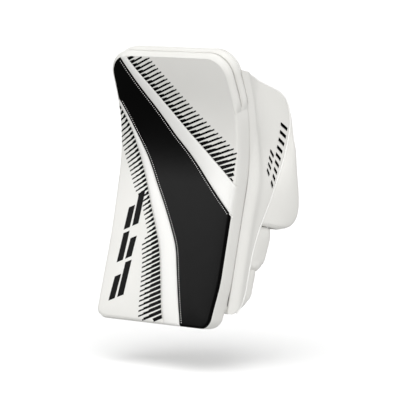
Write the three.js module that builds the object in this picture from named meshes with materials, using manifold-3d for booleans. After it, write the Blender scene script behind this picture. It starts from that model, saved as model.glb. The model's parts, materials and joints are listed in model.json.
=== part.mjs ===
// A right-hand ice hockey goalie blocker: a bent, padded board worn on the back of the hand, with a
// side wing and a hinged thumb guard on its thumb side, and a glove, cuff and wrist strap behind it.
// The fingers point down and the forearm enters from the top.
//
// Everything is modelled in the board's own frame: +X to the thumb side, +Y from the board's front
// face back to the hand, +Z up along the board's straight lower stretch, and the origin at the
// middle of the board's lower front edge. At the end the group is leaned back by LEAN and moved so
// that its origin is the centre of the wrist opening. Lengths are in millimetres.
import * as THREE from "three";
import { mergeVertices } from "three/addons/utils/BufferGeometryUtils.js";
import Module from "manifold-3d";

const wasm = await Module();
wasm.setup();

const RADIANS = Math.PI / 180;

// ---- driving dimensions -------------------------------------------------------------------------
const LEAN = 15 * RADIANS; // how far the board's lower stretch leans, bottom edge forward
const GAP = 0.3; // between pieces that lie on each other

const BOARD_WIDTH = 204;
const BOARD_LENGTH = 381; // along its front face
const TOP_CORNER = 32;
const BOTTOM_CORNER = 20;
const STRAIGHT = 199; // of the lower stretch, below the bend
const BEND_RADIUS = 222; // of the front face
const BEND_ANGLE = 33 * RADIANS;

const SKIN = 1.8; // leather on the face, sides and back
const FRONT_FOAM = 11.6;
const SHEET = 2; // the plastic sheet between the foams
const REAR_FOAM = 12.4;

const ROLL_FROM = 300; // along the face, where the rolled top binding takes over from the side band
const ROLL_PUFF = 1.4; // how far each roll stands out
const RUN_OUT = 2; // the least width of a panel where it runs out at an edge

const HAND_ROOM = 1.1; // between the glove and the wing's lining
const FINGER_PITCH = 26;
const FINGER_RADIUS = 13;
const FINGER_MARGIN = 2; // from the outer stalls to the glove's sides
const STALL_WALL = 2.2;
const KNUCKLE_PAD = 11; // foam between the board and the fingers
const KNUCKLE_PAD_BOTTOM = 56;
const KNUCKLE_PAD_TOP = 206;
const HAND_BACK = 3;
const POCKET_DEPTH = 26; // the room for the hand between its back and palm
const PALM_WALL = 2.4;
const PALM_CROWN = 6; // how far the palm bulges at its middle

const KNUCKLE_HEIGHT = 166; // the line the fingers bend at
const PALM_TOP = 262;
const CUFF_TOP = 322;

const WING_BOTTOM = 27;
const WING_FLARE = 0.2; // how far the wing spreads outwards, per millimetre back
const WING_GAP = 0.6; // between the wing's layers, which lie less close than the board's
const WING_SKIN = 2.4;
const WING_SHEET = 1.4;
const WING_PAD = 10; // foam pads under the wing's panel
const WING_PAD_REACH = 38; // behind the board's straight back, clear of the thumb
const WING_LINER = 1.5;

const GUARD_WALL = 8; // the thumb guard's foam, in its shell
const GUARD_SKIN = 2;
const GUARD_GAP = 1; // between the guard's shell and its foam
const GUARD_BOTTOM = 160;
const GUARD_TOP = 306;
const THUMB_RADIUS = 14;

const STRAP_WIDTH = 36;
const STRAP_THICKNESS = 3;
const STRAP_BOTTOM = 276;
const PATCH = 1.2; // hook or loop patch

const COLOURS = {
  white: 0xf0f0ec,
  warmWhite: 0xe6e5df,
  black: 0x17171a,
  foam: 0xd9d6c8,
  sheet: 0xb9c4cc,
  palm: 0xc9c8c3,
  mesh: 0x2a2a2e,
};

// ---- solids ----------------------------------------------------------------------------------------

// A ring's triangles: a ladder between its first half and its second half.
function capTriangles(count) {
  const faces = [];
  for (let i = 0; i + 1 < count / 2; i++) {
    faces.push([i, i + 1, count - 2 - i], [i, count - 2 - i, count - 1 - i]);
  }
  return faces.filter(([a, b, c]) => a !== b && b !== c);
}

function signedVolume(points, faces) {
  const cross = new THREE.Vector3();
  return faces.reduce((sum, [a, b, c]) => {
    cross.crossVectors(points[b], points[c]);
    return sum + points[a].dot(cross) / 6;
  }, 0);
}

// A closed solid through a row of rings with the same number of points.
function loft(rings) {
  const count = rings[0].length;
  const points = rings.flat();
  const faces = [];
  for (let r = 0; r + 1 < rings.length; r++) {
    for (let i = 0; i < count; i++) {
      const j = (i + 1) % count;
      const here = r * count;
      const next = here + count;
      faces.push([here + i, here + j, next + j], [here + i, next + j, next + i]);
    }
  }
  const last = points.length - count;
  capTriangles(count).forEach(([a, b, c]) => {
    faces.push([c, b, a], [last + a, last + b, last + c]);
  });
  if (signedVolume(points, faces) < 0) faces.forEach((face) => face.reverse());
  const geometry = new THREE.BufferGeometry().setFromPoints(points);
  geometry.setIndex(faces.flat());
  return geometry;
}

function toSolid(geometry) {
  const bare = new THREE.BufferGeometry();
  bare.setAttribute("position", geometry.getAttribute("position"));
  bare.setIndex(geometry.index);
  const merged = mergeVertices(bare, 1e-4);
  return new wasm.Manifold(
    new wasm.Mesh({
      numProp: 3,
      vertProperties: merged.attributes.position.array,
      triVerts: new Uint32Array(merged.index.array),
    }),
  );
}

function toGeometry(solid) {
  const mesh = solid.getMesh();
  const geometry = new THREE.BufferGeometry();
  geometry.setAttribute("position", new THREE.BufferAttribute(mesh.vertProperties, mesh.numProp));
  geometry.setIndex(new THREE.BufferAttribute(mesh.triVerts, 1));
  return geometry;
}

const cut = (body, tool) => toGeometry(toSolid(body).subtract(toSolid(tool)));

// ---- curves ------------------------------------------------------------------------------------------

// The second coordinate of a curve at a given first one, with the ends held.
function along(points, at) {
  const first = points[0];
  if (at <= first[0]) return first[1];
  for (let i = 1; i < points.length; i++) {
    const [u0, v0] = points[i - 1];
    const [u1, v1] = points[i];
    if (at <= u1) return v0 + ((v1 - v0) * (at - u0)) / (u1 - u0);
  }
  return points.at(-1)[1];
}

function steps(from, to, count) {
  return Array.from({ length: count + 1 }, (_, i) => from + ((to - from) * i) / count);
}

// A strip's cross-section: the outer curve as [x, y] points, and the same curve moved in by depth.
function stripSection(outer, depth, z) {
  const inner = outer.map(([x, y], i) => {
    const [xa, ya] = outer[Math.max(0, i - 1)];
    const [xb, yb] = outer[Math.min(outer.length - 1, i + 1)];
    const length = Math.hypot(xb - xa, yb - ya);
    return [x - ((yb - ya) / length) * depth, y + ((xb - xa) / length) * depth];
  });
  return [...outer, ...inner.reverse()].map(([x, y]) => new THREE.Vector3(x, y, z));
}

// ---- the board -----------------------------------------------------------------------------------------
const SIDE = BOARD_WIDTH / 2;
const FOAM_FRONT = SKIN + GAP;
const SHEET_FRONT = FOAM_FRONT + FRONT_FOAM + GAP;
const REAR_FRONT = SHEET_FRONT + SHEET + GAP;
const COVER_FRONT = REAR_FRONT + REAR_FOAM + GAP;
const THICKNESS = COVER_FRONT + SKIN;
const FOAM_INSET = SKIN + GAP;

// A point on the bent board: x across, s up along the front face, n back from it.
function boardPoint(x, s, n) {
  const turned = Math.min(Math.max((s - STRAIGHT) / BEND_RADIUS, 0), BEND_ANGLE);
  const past = Math.max(s - STRAIGHT - BEND_RADIUS * BEND_ANGLE, 0);
  const y = -BEND_RADIUS * (1 - Math.cos(turned)) - past * Math.sin(turned);
  const z = Math.min(s, STRAIGHT) + BEND_RADIUS * Math.sin(turned) + past * Math.cos(turned);
  return new THREE.Vector3(x, y + n * Math.cos(turned), z + n * Math.sin(turned));
}

// Half the board's width at s, inside its rounded corners.
function halfWidth(s, inset = 0) {
  const half = BOARD_WIDTH / 2 - inset;
  const low = BOTTOM_CORNER - (s - inset) - inset;
  const high = s + inset - (BOARD_LENGTH - TOP_CORNER + inset);
  const corner = (radius, into) => half - radius + Math.sqrt(Math.max(radius ** 2 - into ** 2, 0));
  if (low > 0) return corner(BOTTOM_CORNER - inset, low);
  if (high > 0) return corner(TOP_CORNER - inset, high);
  return half;
}

// The heights at which the board's lofts have a section, between from and to.
function boardStations(from, to) {
  const corner = (radius) => steps(0, 90, 6).map((d) => radius * (1 - Math.cos(d * RADIANS)));
  const all = [
    ...corner(BOTTOM_CORNER),
    ...steps(BOTTOM_CORNER, STRAIGHT, 14),
    ...steps(STRAIGHT, BOARD_LENGTH - TOP_CORNER, 14),
    ...corner(TOP_CORNER).map((d) => BOARD_LENGTH - d),
  ];
  const inside = all.filter((s) => s > from + 1 && s < to - 1);
  return [from, ...new Set(inside.sort((a, b) => a - b)), to];
}

// A layer of the board between two side curves, n0 to n1 behind its face.
function boardLayer(n0, n1, left, right, stations) {
  return loft(
    stations.map((s) => {
      const xs = [left(s), Math.max(right(s), left(s) + RUN_OUT)];
      return [
        boardPoint(xs[0], s, n0),
        boardPoint(xs[1], s, n0),
        boardPoint(xs[1], s, n1),
        boardPoint(xs[0], s, n1),
      ];
    }),
  );
}

function insetLayer(n0, n1, inset) {
  const edge = (s) => halfWidth(s, inset);
  return boardLayer(n0, n1, (s) => -edge(s), edge, boardStations(inset, BOARD_LENGTH - inset));
}

// The seams between the face panels, as [height along the face, x] on a board of SEAMS_DRAWN_ON.
const SEAMS_DRAWN_ON = { width: 204, length: 381 };
const DRAWN_SEAMS = {
  printToStripe: [[0, 20], [18, 13], [62, 3], [100, -6], [121, -14], [161, -33], [201, -50], [239, -67], [276, -83], [306, -100]],
  stripeToBlack: [[0, 50], [10, 47], [37, 37], [64, 30], [102, 21], [116, 16], [144, 1], [171, -15], [196, -31], [230, -50], [269, -75], [319, -102]],
  blackToStripe: [[160, 102], [185, 76], [206, 55], [229, 34], [248, 15], [265, -3], [295, -27], [322, -48], [343, -62], [378, -83]],
  stripeToPrint: [[202, 102], [210, 90], [223, 77], [240, 56], [260, 33], [275, 16], [294, -2], [314, -20], [335, -37], [355, -54], [379, -72]],
};

// Where the panels run out at an edge going up, and where they start at one.
const DRAWN_RUN_OUTS = { panelLeft: 303, stripeLeft: 309, black: 377, stripeTop: 380 };
const DRAWN_RUN_INS = { stripeRight: 164, panelRight: 205 };

const toBoardX = (x) => (x * BOARD_WIDTH) / SEAMS_DRAWN_ON.width;
const toBoardS = (s) => (s * BOARD_LENGTH) / SEAMS_DRAWN_ON.length;
const toBoard = (record, change) =>
  Object.fromEntries(Object.entries(record).map(([key, value]) => [key, change(value)]));
const SEAMS = toBoard(DRAWN_SEAMS, (seam) => seam.map(([s, x]) => [toBoardS(s), toBoardX(x)]));

const RUN_OUTS = toBoard(DRAWN_RUN_OUTS, toBoardS);
const RUN_INS = toBoard(DRAWN_RUN_INS, toBoardS);
const FACE_STATIONS = [
  ...boardStations(0, BOARD_LENGTH),
  ...Object.values({ ...RUN_OUTS, ...RUN_INS }),
].sort((a, b) => a - b);

function facePanel(leftSeam, rightSeam, from, to) {
  const inside = (x, s) => Math.max(-halfWidth(s), Math.min(halfWidth(s), x));
  const left = (s) => (leftSeam ? inside(along(leftSeam, s) + GAP / 2, s) : -halfWidth(s));
  const right = (s) => (rightSeam ? inside(along(rightSeam, s) - GAP / 2, s) : halfWidth(s));
  const stations = FACE_STATIONS.filter((s) => s >= from && s <= to);
  return boardLayer(0, SKIN, left, right, stations);
}

// The board's outline from the right-hand break, as [x, s, inward x, inward s], by way of the bottom
// (end 0) or of the top (end BOARD_LENGTH).
function edgePath(end) {
  const radius = end ? TOP_CORNER : BOTTOM_CORNER;
  const half = BOARD_WIDTH / 2;
  const way = end ? 1 : -1;
  const turnAt = end - way * radius;
  const sideEnd = ROLL_FROM + (way * GAP) / 2;
  const side = steps(sideEnd, turnAt, Math.max(3, Math.round(Math.abs(turnAt - sideEnd) / 13)));
  const right = side.map((s) => [half, s, -1, 0]);
  const arc = steps(15, 75, 4).map((d) => {
    const [c, k] = [Math.cos(d * RADIANS), Math.sin(d * RADIANS)];
    return [half - radius + radius * c, turnAt + way * radius * k, -c, -way * k];
  });
  const run = steps(half - radius, 0, 1).map((x) => [x, end, 0, -way]);
  const first = [...right, ...arc, ...run];
  const mirrored = first.slice(0, -1).map(([x, s, u, v]) => [-x, s, -u, v]);
  return [...first, ...mirrored.reverse()];
}

// A band round the board's edge. The profile is a list of [inward, back] points.
function edgeBand(end, profile) {
  return loft(
    edgePath(end).map(([x, s, u, v]) =>
      profile.map(([inward, n]) => boardPoint(x + u * inward, s + v * inward, n)),
    ),
  );
}

function rollProfile(n0, n1) {
  const rise = (n1 - n0) / 4;
  return [
    [SKIN, n0],
    [0, n0],
    [-ROLL_PUFF, n0 + rise],
    [-ROLL_PUFF, n1 - rise],
    [0, n1],
    [SKIN, n1],
  ];
}

const ROLL_SPLIT = (FOAM_FRONT + THICKNESS) / 2;

// How far back the board's rear surface is at a height z.
function boardBack(z) {
  const radius = BEND_RADIUS + THICKNESS;
  const up = z - STRAIGHT;
  if (up <= 0) return THICKNESS;
  const arcTop = radius * Math.sin(BEND_ANGLE);
  const y = -BEND_RADIUS + Math.sqrt(radius ** 2 - Math.min(up, arcTop) ** 2);
  return y - Math.max(up - arcTop, 0) * Math.tan(BEND_ANGLE);
}

// ---- the wing and its pads --------------------------------------------------------------------------------

// The wing's rear edge, as [height, how far behind the board's straight back].
const WING_EDGE = [[27, 8], [33, 17], [40, 22], [51, 28], [72, 29], [93, 29], [114, 30], [136, 33], [158, 38], [180, 43], [202, 48], [225, 55], [248, 65], [270, 68], [299, 67], [315, 64], [325, 60], [335, 52], [342, 43], [347, 19], [351, -2], [354, -20]];
const wingEdge = (z) => THICKNESS + along(WING_EDGE, z);
const wingOuter = (y) => BOARD_WIDTH / 2 - SKIN + WING_FLARE * Math.max(y - THICKNESS, 0);

// A sheet of the wing's shape, depth0 to depth1 under its outer face, inset from its edges.
function wingLayer(depth0, depth1, front, back, heights, columns = 6) {
  return loft(
    heights.map((z) => {
      const ys = steps(front(z), Math.max(back(z), front(z) + RUN_OUT), columns);
      return stripSection(ys.map((y) => [wingOuter(y) - depth0, y]), depth1 - depth0, z);
    }),
  );
}

const WING_TOP = WING_EDGE.at(-1)[0];

function wingHeights(from, to) {
  const all = [...WING_EDGE.map(([z]) => z), ...steps(STRAIGHT, WING_TOP - 14, 12)];
  return [from, ...all.filter((z) => z > from + 1 && z < to - 1).sort((a, b) => a - b), to];
}

const PAD_DEPTH = WING_SKIN + WING_SHEET + 2 * WING_GAP;
const LINER_DEPTH = PAD_DEPTH + WING_PAD + WING_GAP;

// The index finger's side pads reach further back than the wing's panel.
const UPPER_PAD_EDGE = [[98, 46], [101, 50], [106, 57], [112, 60], [142, 64], [157, 62]];
const LOWER_PAD_EDGE = [[29, 12], [36, 26], [45, 36], [57, 44], [91, 46], [96, 44]];

// ---- the thumb guard ----------------------------------------------------------------------------------------

// How far back the guard's outer corner is, as [height, behind the board's straight back].
const GUARD_EDGE = [[160, 60], [163, 76], [168, 88], [175, 97], [186, 103], [198, 104], [214, 100], [240, 91], [276, 80], [306, 74]];
const GUARD_CORNER = 12;
// How far in from the board's side the guard's inner end is.
const GUARD_REACH = [[160, 2], [170, 22], [180, 28], [228, 28], [262, 4], [306, -2]];
const HINGE_GAP = 2.5;

function guardCurve(z, depth) {
  const front = wingEdge(z) + HINGE_GAP;
  const corner = THICKNESS + along(GUARD_EDGE, z);
  const out = wingOuter(Math.max(corner, front)) + 1;
  const frontX = wingOuter(wingEdge(z)) - 1;
  const side = steps(0, 1, 3).map((t) => [
    frontX + (out - frontX) * Math.sin((t * Math.PI) / 2),
    front + (Math.max(corner - 4, front + 2) - front) * t,
  ]);
  const bend = [25, 50, 75, 90].map((d) => [
    out - GUARD_CORNER * (1 - Math.cos(d * RADIANS)),
    Math.max(corner - 4, front + 2) + GUARD_CORNER * Math.sin(d * RADIANS),
  ]);
  const [lastX, lastY] = bend.at(-1);
  const reach = Math.min(SIDE - along(GUARD_REACH, z), lastX - 2);
  const rear = [0.5, 1].map((t) => [lastX + (reach - lastX) * t, lastY - 1.5 * t]);
  const outer = [...side, ...bend, ...rear];
  if (!depth) return outer;
  return stripSection(outer, depth, z).slice(outer.length).reverse().map((p) => [p.x, p.y]);
}

const guardHeights = GUARD_EDGE.map(([z]) => z);

// ---- tubes for the fingers ------------------------------------------------------------------------------------

// An upright oval tube. Its ends lean towards the palm by miter, and a tip closes it in a dome.
function ovalRings(centre, radiusX, radiusY, ends) {
  const around = steps(0, 1, 16).slice(0, -1);
  return ends.map(({ z, miter = 0, scale = 1, shift = 0 }) =>
    around.map((t) => {
      const angle = t * 2 * Math.PI;
      const y = radiusY * scale * Math.sin(angle);
      const tilt = miter * Math.max(0, (y + radiusY) / (2 * radiusY));
      return new THREE.Vector3(
        centre.x + radiusX * scale * Math.cos(angle),
        centre.y + shift + y,
        z + tilt,
      );
    }),
  );
}

const DOME = [[0, 1], [0.35, 0.95], [0.65, 0.78], [0.88, 0.5], [1, 0.2]];

function openStall(centre, radius, top, bottom, miter) {
  const outer = loft(
    ovalRings(centre, radius, radius, [{ z: bottom, miter }, { z: top, miter: -miter }]),
  );
  const r = radius - STALL_WALL;
  const bore = loft(
    ovalRings(centre, r, r, [{ z: bottom - 20 }, { z: top + 20 }]),
  );
  return cut(outer, bore);
}

function closedStall(centre, radius, top, tip, miter) {
  const dome = (r, end) =>
    DOME.map(([drop, scale]) => ({ z: end + r - drop * r, scale })).reverse();
  const outer = loft(
    ovalRings(centre, radius, radius, [...dome(radius, tip), { z: top, miter: -miter }]),
  );
  const r = radius - STALL_WALL;
  const hollow = loft(
    ovalRings(centre, r, r, [...dome(r, tip + STALL_WALL), { z: top + 20 }]),
  );
  return cut(outer, hollow);
}

// ---- the object ---------------------------------------------------------------------------------------------------
const blocker = new THREE.Group();

function add(name, geometry, colour, roughness = 0.6) {
  const material = new THREE.MeshStandardMaterial({ color: colour, roughness, metalness: 0 });
  const mesh = new THREE.Mesh(geometry, material);
  mesh.name = name;
  blocker.add(mesh);
  return mesh;
}

function addBoard() {
  add("face_panel_left", facePanel(null, SEAMS.printToStripe, 0, RUN_OUTS.panelLeft), COLOURS.white);
  add(
    "face_stripe_left",
    facePanel(SEAMS.printToStripe, SEAMS.stripeToBlack, 0, RUN_OUTS.stripeLeft),
    COLOURS.white,
  );
  add(
    "face_panel_black",
    facePanel(SEAMS.stripeToBlack, SEAMS.blackToStripe, 0, RUN_OUTS.black),
    COLOURS.black,
    0.45,
  );
  add(
    "face_stripe_right",
    facePanel(SEAMS.blackToStripe, SEAMS.stripeToPrint, RUN_INS.stripeRight, RUN_OUTS.stripeTop),
    COLOURS.white,
  );
  add(
    "face_panel_right",
    facePanel(SEAMS.stripeToPrint, null, RUN_INS.panelRight, BOARD_LENGTH),
    COLOURS.white,
  );
  add("front_foam", insetLayer(FOAM_FRONT, FOAM_FRONT + FRONT_FOAM, FOAM_INSET), COLOURS.foam, 0.9);
  add("stiffener_sheet", insetLayer(SHEET_FRONT, SHEET_FRONT + SHEET, FOAM_INSET), COLOURS.sheet);
  add("rear_foam", insetLayer(REAR_FRONT, REAR_FRONT + REAR_FOAM, FOAM_INSET), COLOURS.foam, 0.9);
  add("back_cover", insetLayer(COVER_FRONT, THICKNESS, FOAM_INSET), COLOURS.warmWhite);
  const band = [
    [SKIN, FOAM_FRONT],
    [0, FOAM_FRONT],
    [0, THICKNESS],
    [SKIN, THICKNESS],
  ];
  add("side_band", edgeBand(0, band), COLOURS.white);
  const top = BOARD_LENGTH;
  add("top_roll_front", edgeBand(top, rollProfile(FOAM_FRONT, ROLL_SPLIT)), COLOURS.white);
  add("top_roll_back", edgeBand(top, rollProfile(ROLL_SPLIT + GAP, THICKNESS)), COLOURS.white);
}

function addWing() {
  const front = (z) => boardBack(z) + GAP;
  const panelHeights = wingHeights(WING_BOTTOM, WING_TOP);
  add("wing_panel", wingLayer(0, WING_SKIN, front, wingEdge, panelHeights), COLOURS.white);
  const within = (margin) => (z) => wingEdge(z) - margin;
  const sheetDepth = WING_SKIN + WING_GAP;
  add(
    "wing_sheet",
    wingLayer(
      sheetDepth,
      sheetDepth + WING_SHEET,
      (z) => front(z) + 2,
      within(3),
      wingHeights(WING_BOTTOM + 4, WING_TOP - 8),
    ),
    COLOURS.sheet,
  );
  const pad = (edge) => (z) => THICKNESS + along(edge, z);
  const heightsOf = (edge) => edge.map(([z]) => z);
  const padEnd = PAD_DEPTH + WING_PAD;
  add(
    "index_pad_lower",
    wingLayer(PAD_DEPTH, padEnd, front, pad(LOWER_PAD_EDGE), heightsOf(LOWER_PAD_EDGE)),
    COLOURS.white,
  );
  add(
    "index_pad_upper",
    wingLayer(PAD_DEPTH, padEnd, front, pad(UPPER_PAD_EDGE), heightsOf(UPPER_PAD_EDGE)),
    COLOURS.white,
  );
  const cuffHeights = wingHeights(200, WING_TOP - 8);
  const padBack = (z) => Math.max(Math.min(wingEdge(z) - 3, THICKNESS + WING_PAD_REACH), front(z) + 4);
  add("wing_pad", wingLayer(PAD_DEPTH, padEnd, (z) => front(z) + 1, padBack, cuffHeights), COLOURS.foam, 0.9);
  add(
    "wing_liner",
    wingLayer(LINER_DEPTH, LINER_DEPTH + WING_LINER, (z) => front(z) + 2, padBack, cuffHeights),
    COLOURS.mesh,
    0.9,
  );
}

function addThumbGuard() {
  const shell = guardHeights.map((z) => stripSection(guardCurve(z, 0), GUARD_SKIN, z));
  add("thumb_guard_shell", loft(shell), COLOURS.white);
  const inner = guardHeights
    .filter((z) => z > GUARD_BOTTOM && z < GUARD_TOP)
    .map((z) => stripSection(guardCurve(z, GUARD_SKIN + GUARD_GAP).slice(1), GUARD_WALL, z));
  add("thumb_guard_foam", loft(inner), COLOURS.foam, 0.9);
}

const STALL_CENTRE_Y = THICKNESS + GAP + KNUCKLE_PAD + GAP + FINGER_RADIUS;
const HAND_RIGHT = wingOuter(0) - LINER_DEPTH - WING_LINER - HAND_ROOM;
const INDEX_X = HAND_RIGHT - FINGER_RADIUS - FINGER_MARGIN;
const FINGERS = [
  { name: "index", knuckle: KNUCKLE_HEIGHT, middle: 122, tip: 74, radius: FINGER_RADIUS },
  { name: "middle", knuckle: KNUCKLE_HEIGHT + 2, middle: 120, tip: 66, radius: FINGER_RADIUS },
  { name: "ring", knuckle: KNUCKLE_HEIGHT, middle: 122, tip: 72, radius: FINGER_RADIUS },
  { name: "little", knuckle: KNUCKLE_HEIGHT - 6, middle: 124, tip: 88, radius: FINGER_RADIUS - 1.5 },
];
const KNUCKLE_MITER = 5; // how far a stall's end is cut back on the palm side, to leave room to bend

function addFingers() {
  FINGERS.forEach(({ name, knuckle, middle, tip, radius }, i) => {
    const centre = { x: INDEX_X - i * FINGER_PITCH, y: STALL_CENTRE_Y };
    const gap = 1.2;
    add(`${name}_stall_upper`, openStall(centre, radius, knuckle - gap, middle + gap, KNUCKLE_MITER), COLOURS.palm, 0.85);
    add(`${name}_stall_tip`, closedStall(centre, radius, middle - gap, tip, KNUCKLE_MITER), COLOURS.palm, 0.85);
  });
}

const HAND_LEFT = INDEX_X - 3 * FINGER_PITCH - FINGER_RADIUS - FINGER_MARGIN;
const HAND_FRONT = THICKNESS + GAP + KNUCKLE_PAD + GAP;
const PALM_EDGE = HAND_FRONT + HAND_BACK + POCKET_DEPTH;

// A flat plate with its faces square to y.
function plate(x0, x1, y0, y1, z0, z1, corner) {
  const shape = new THREE.Shape();
  shape.moveTo(x0 + corner, z0);
  shape.lineTo(x1 - corner, z0);
  shape.quadraticCurveTo(x1, z0, x1, z0 + corner);
  shape.lineTo(x1, z1 - corner);
  shape.quadraticCurveTo(x1, z1, x1 - corner, z1);
  shape.lineTo(x0 + corner, z1);
  shape.quadraticCurveTo(x0, z1, x0, z1 - corner);
  shape.lineTo(x0, z0 + corner);
  shape.quadraticCurveTo(x0, z0, x0 + corner, z0);
  const options = { depth: y1 - y0, bevelEnabled: false, curveSegments: 4 };
  const geometry = new THREE.ExtrudeGeometry(shape, options);
  geometry.rotateX(Math.PI / 2);
  geometry.translate(0, y1, 0);
  return geometry;
}

const palmOuter = (x) => {
  const middle = (HAND_LEFT + HAND_RIGHT) / 2;
  const across = (x - middle) / ((HAND_RIGHT - HAND_LEFT) / 2);
  return PALM_EDGE + PALM_CROWN * (1 - across ** 2) + PALM_WALL;
};

// A curved plate on the palm: a strip from x1 to x0, lift outside the palm's own outer face.
function palmPlate(x0, x1, lift, depth, z0, z1) {
  return loft(
    [z0, z1].map((z) => stripSection(
      steps(x1, x0, 8).map((x) => [x, palmOuter(x) + lift]),
      depth,
      z,
    )),
  );
}

const PALM_BOTTOM = KNUCKLE_HEIGHT + 11;

function addGlove() {
  add(
    "knuckle_pad",
    plate(HAND_LEFT, HAND_RIGHT, THICKNESS + GAP, THICKNESS + GAP + KNUCKLE_PAD, KNUCKLE_PAD_BOTTOM, KNUCKLE_PAD_TOP, 14),
    COLOURS.mesh,
    0.9,
  );
  add(
    "hand_back",
    plate(HAND_LEFT, HAND_RIGHT, HAND_FRONT, HAND_FRONT + HAND_BACK, KNUCKLE_HEIGHT + 6, CUFF_TOP, 4),
    COLOURS.mesh,
    0.9,
  );
  add("palm_panel", palmPlate(HAND_LEFT + 3, HAND_RIGHT - 3, 0, PALM_WALL, PALM_BOTTOM, PALM_TOP), COLOURS.palm, 0.85);
  add("heel_pad", palmPlate(HAND_LEFT + 8, HAND_RIGHT - 26, 7 + GAP, 7, 226, PALM_TOP - 2), COLOURS.palm, 0.85);
  const gussetFront = HAND_FRONT + HAND_BACK + GAP;
  const gussetBack = PALM_EDGE - GAP;
  add(
    "little_side_gusset",
    plate(HAND_LEFT, HAND_LEFT + PALM_WALL, gussetFront, gussetBack, PALM_BOTTOM, PALM_TOP, 1),
    COLOURS.mesh,
    0.9,
  );
  add(
    "thumb_side_gusset",
    plate(HAND_RIGHT - PALM_WALL, HAND_RIGHT, gussetFront, gussetBack, PALM_BOTTOM, 214, 1),
    COLOURS.mesh,
    0.9,
  );
}

// The thumb's stall, from its mouth by the palm down into the guard.
const THUMB_MOUTH = new THREE.Vector3(SIDE - 14, THICKNESS + 60, 236);
const THUMB_TIP = new THREE.Vector3(SIDE - 11, THICKNESS + 79, 170);

function addThumbStall() {
  const length = THUMB_MOUTH.distanceTo(THUMB_TIP);
  const geometry = closedStall({ x: 0, y: 0 }, THUMB_RADIUS, length, 0, 0);
  const mesh = add("thumb_stall", geometry, COLOURS.palm, 0.85);
  const down = new THREE.Vector3().subVectors(THUMB_MOUTH, THUMB_TIP).normalize();
  mesh.position.copy(THUMB_TIP);
  mesh.quaternion.setFromUnitVectors(new THREE.Vector3(0, 0, 1), down);
}

// ---- the cuff and its strap --------------------------------------------------------------------------------------
const CUFF_BOTTOM = 240;
const FLAP_WALL = 6;
const FLAP_X = HAND_LEFT - 2.5; // the inner face of the little finger side's flap
const FLAP_HINGE = new THREE.Vector3(FLAP_X - FLAP_WALL / 2, THICKNESS + 6, 0);
const REAR_Y = THICKNESS + 77; // the outer face of the rear flap
const STRAP_Y = REAR_Y + 2 * PATCH + 3 * GAP + STRAP_THICKNESS;
const STRAP_HINGE = new THREE.Vector3(FLAP_X - FLAP_WALL - 2, THICKNESS + 60, 0);

function addCuff() {
  const wedge = steps(KNUCKLE_PAD_TOP + 1, CUFF_TOP - 2, 10).map((z) => [
    new THREE.Vector3(HAND_LEFT, boardBack(z) + GAP, z),
    new THREE.Vector3(HAND_RIGHT, boardBack(z) + GAP, z),
    new THREE.Vector3(HAND_RIGHT, HAND_FRONT - GAP, z),
    new THREE.Vector3(HAND_LEFT, HAND_FRONT - GAP, z),
  ]);
  add("cuff_back_pad", loft(wedge), COLOURS.mesh, 0.9);
  const outside = FLAP_X - FLAP_WALL;
  const side = steps(0, 1, 4).map((t) => [outside, FLAP_HINGE.y + 1 + (THICKNESS + 48 - FLAP_HINGE.y) * t]);
  const turnIn = [[outside + 1.5, THICKNESS + 55], [outside + 5, THICKNESS + 60]];
  const flap = [...side, ...turnIn].reverse();
  add(
    "cuff_flap",
    loft([CUFF_BOTTOM, CUFF_BOTTOM + 6, CUFF_TOP - 6, CUFF_TOP].map((z) => stripSection(flap, FLAP_WALL, z))),
    COLOURS.white,
  );
  const rear = [
    [SIDE + 5, REAR_Y - 18],
    [SIDE - 6, REAR_Y - 12],
    [SIDE - 16, REAR_Y - 6],
    [SIDE - 32, REAR_Y - 1.5],
    [SIDE - 52, REAR_Y],
    [SIDE - 78, REAR_Y - 1],
  ];
  add(
    "rear_flap",
    loft([STRAP_BOTTOM - 8, CUFF_TOP - 4].map((z) => stripSection(rear, 5, z))),
    COLOURS.mesh,
    0.8,
  );
}

function addStrap() {
  const zs = [STRAP_BOTTOM, STRAP_BOTTOM + STRAP_WIDTH];
  const anchorX = FLAP_X - FLAP_WALL - GAP;
  const anchor = [[anchorX - STRAP_THICKNESS, THICKNESS + 56], [anchorX - STRAP_THICKNESS, THICKNESS + 20]];
  add("strap_anchor", loft(zs.map((z) => stripSection(anchor, STRAP_THICKNESS, z))), COLOURS.mesh, 0.8);
  const y = STRAP_Y;
  const free = [
    [SIDE - 24, y - 3],
    [SIDE - 38, y - 0.5],
    [SIDE - 58, y],
    [SIDE - 82, y - 1],
    [SIDE - 102, y - 3],
    [SIDE - 122, y - 7.5],
    [anchorX + 2, y - 13],
    [anchorX - STRAP_THICKNESS, STRAP_HINGE.y + 2],
  ];
  add("wrist_strap", loft(zs.map((z) => stripSection(free, STRAP_THICKNESS, z))), COLOURS.white);
  const tab = [
    [SIDE - 7, y - 9],
    [SIDE - 16, y - 5.5],
    [SIDE - 24 + GAP, y - 3.4],
  ];
  const tabZs = [STRAP_BOTTOM + 7, STRAP_BOTTOM + STRAP_WIDTH - 7];
  add("strap_tab", loft(tabZs.map((z) => stripSection(tab, STRAP_THICKNESS - 0.6, z))), COLOURS.black, 0.5);
  const patchZs = [STRAP_BOTTOM + 3, STRAP_BOTTOM + STRAP_WIDTH - 3];
  const patch = (lift, name) => {
    const line = [
      [SIDE - 36, lift - 0.6],
      [SIDE - 52, lift],
      [SIDE - 72, lift - 0.5],
    ];
    add(name, loft(patchZs.map((z) => stripSection(line, PATCH, z))), COLOURS.black, 1);
  };
  patch(REAR_Y + GAP + PATCH, "loop_patch");
  patch(REAR_Y + 2 * GAP + 2 * PATCH, "hook_patch");
}

addBoard();
addWing();
addThumbGuard();
addFingers();
addGlove();
addThumbStall();
addCuff();
addStrap();

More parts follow.
